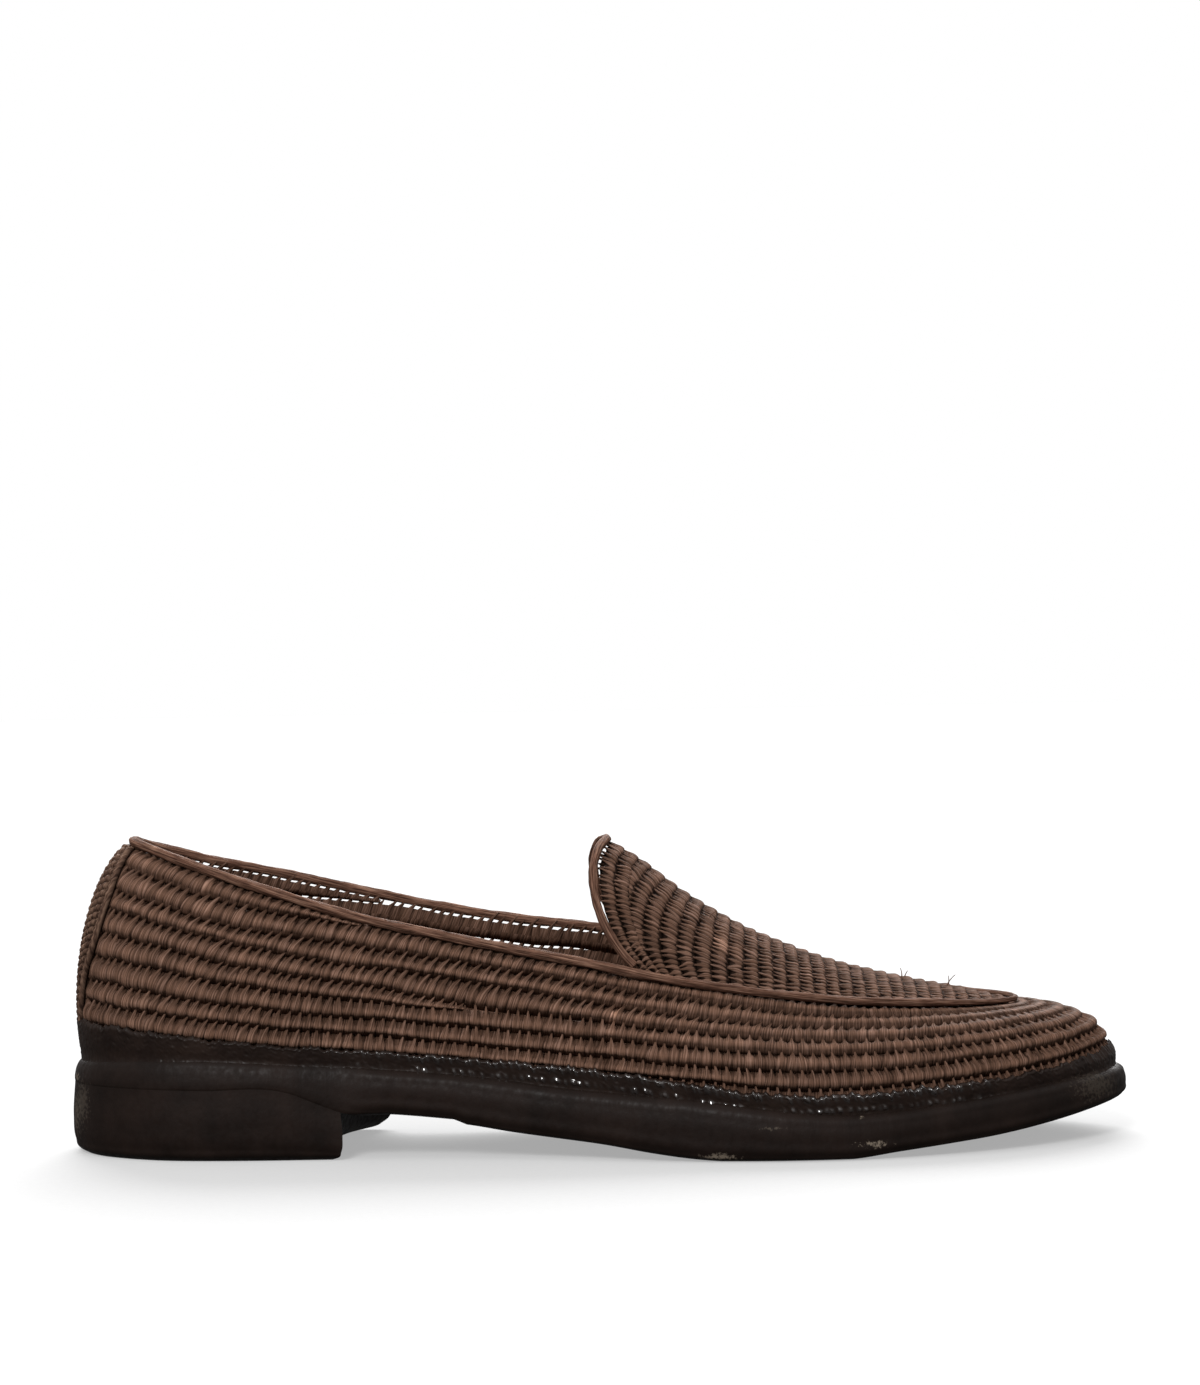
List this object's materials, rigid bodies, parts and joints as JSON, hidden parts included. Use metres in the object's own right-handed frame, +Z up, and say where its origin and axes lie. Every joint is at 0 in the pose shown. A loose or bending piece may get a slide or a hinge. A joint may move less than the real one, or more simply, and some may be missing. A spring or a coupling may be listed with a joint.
{
  "type": "woven loafer",
  "caption": "Low slip-on shoe with a woven raffia upper, raised apron seam, wrapped piping and a dark rubber sole and heel.",
  "frame": {"origin": "middle of the shoe's box, on the ground under the sole", "axes": "+X from heel to toe, +Y to the inner side of the foot, +Z up"},
  "size_m": [0.29, 0.0976, 0.0859],
  "materials": {
    "sole_rubber": "dipped, semi-gloss",
    "heel_rubber": "dipped, semi-gloss",
    "rand_rubber": "dipped, uneven gloss",
    "raffia_weave": "woven, dull sheen",
    "raffia_cord": "wrapped, dull sheen",
    "raffia_knit": "knitted, dull",
    "insole_leather": "smooth, matt"
  },
  "bodies": {
    "root": {"outsole": "sole_rubber", "heel": "heel_rubber", "rand": "rand_rubber", "upper": "raffia_weave", "edge_piping": "raffia_cord", "throat_piping": "raffia_cord", "back_strip": "raffia_knit", "insole": "insole_leather"}
  },
  "joints": []
}
